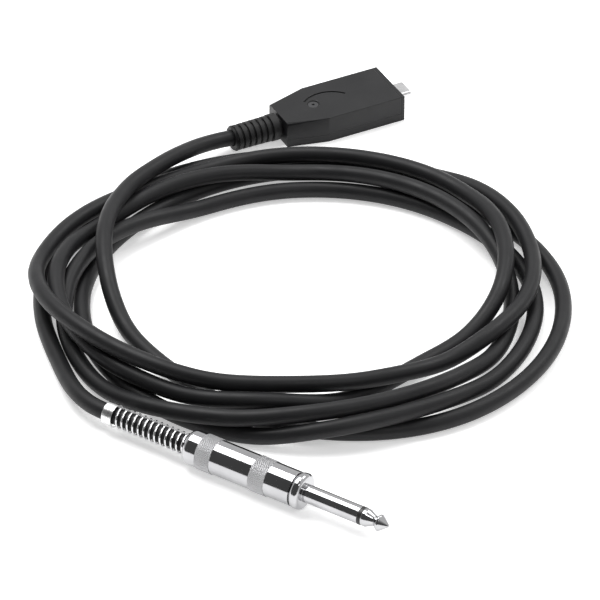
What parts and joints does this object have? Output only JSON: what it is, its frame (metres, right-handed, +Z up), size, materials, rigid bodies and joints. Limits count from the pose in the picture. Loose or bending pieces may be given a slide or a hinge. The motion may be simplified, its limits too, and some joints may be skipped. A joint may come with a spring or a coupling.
{
  "type": "instrument cable",
  "caption": "Instrument cable from a USB-C audio interface housing to a 6.35 mm mono jack plug, with its round black cable lying in a loose coil.",
  "frame": {"origin": "on the resting surface, under the middle of the interface end (strain relief, housing and USB-C plug shell)", "axes": "+X along the interface housing towards the USB-C plug, +Z up, +Y across the housing, away from the coil"},
  "size_m": [0.1914, 0.2389, 0.018],
  "materials": {
    "housing_plastic": "satin, fine spark texture",
    "cap_plastic": "semi gloss",
    "lens_plastic": "smoked gloss",
    "usb_steel": "drawn and nickel plated",
    "dark_insulator": "moulded",
    "gold_contacts": "gold flash",
    "board_laminate": "solder mask",
    "chip_plastic": "moulded epoxy",
    "plated_metal": "tin plated",
    "ceramic": "fired ceramic",
    "led_plastic": "clear cast",
    "relief_rubber": "moulded, matte",
    "red_insulation": "extruded",
    "bare_copper": "twisted strands",
    "cable_jacket": "extruded PVC, matte",
    "plug_nickel": "polished nickel",
    "fibre_washer": "vulcanised fibre",
    "plated_brass": "tinned",
    "barrel_chrome": "polished, with two satin knurled bands",
    "spring_steel": "nickel plated wire",
    "ferrule_steel": "satin nickel"
  },
  "bodies": {
    "cable_assembly": {"upper_shell": "housing_plastic", "lower_shell": "housing_plastic", "end_cap": "cap_plastic", "indicator_lens": "lens_plastic", "usb_shell": "usb_steel", "usb_insulator": "dark_insulator", "usb_contacts": "gold_contacts", "usb_overmould": "dark_insulator", "circuit_board": "board_laminate", "codec_chip": "chip_plastic", "clock_crystal": "plated_metal", "chip_capacitors": "ceramic", "status_led": "led_plastic", "strain_relief": "relief_rubber", "cable_crimp": "plated_metal", "signal_wire": "red_insulation", "shield_wire": "bare_copper", "cable_lead": "cable_jacket", "cable_coil": "cable_jacket", "cable_tail": "cable_jacket", "plug_sleeve": "plug_nickel", "tip_insulator": "dark_insulator", "plug_tip": "plug_nickel", "rear_washer": "fibre_washer", "tip_lug": "plated_brass", "sleeve_lug": "plated_brass", "insulating_tube": "dark_insulator", "jack_signal_core": "red_insulation", "jack_shield_tail": "bare_copper"},
    "strain_spring": {"relief_spring": "spring_steel", "spring_ferrule": "ferrule_steel"},
    "barrel": {"barrel": "barrel_chrome"}
  },
  "joints": [
    {"name": "barrel_slide", "type": "slide", "parent": "cable_assembly", "child": "strain_spring", "axis": [-0.5, 0.866, 0], "range_m": [0, 0.005]},
    {"name": "barrel_turn", "type": "hinge", "parent": "strain_spring", "child": "barrel", "pos_m": [-0.1204, -0.1779, 0.00645], "axis": [-0.5, 0.866, 0], "range_deg": [0, 1800]}
  ],
  "couplings": [
    {"joint": "barrel_slide", "follows": "barrel_turn", "m_per_rad": 0.00015915}
  ]
}
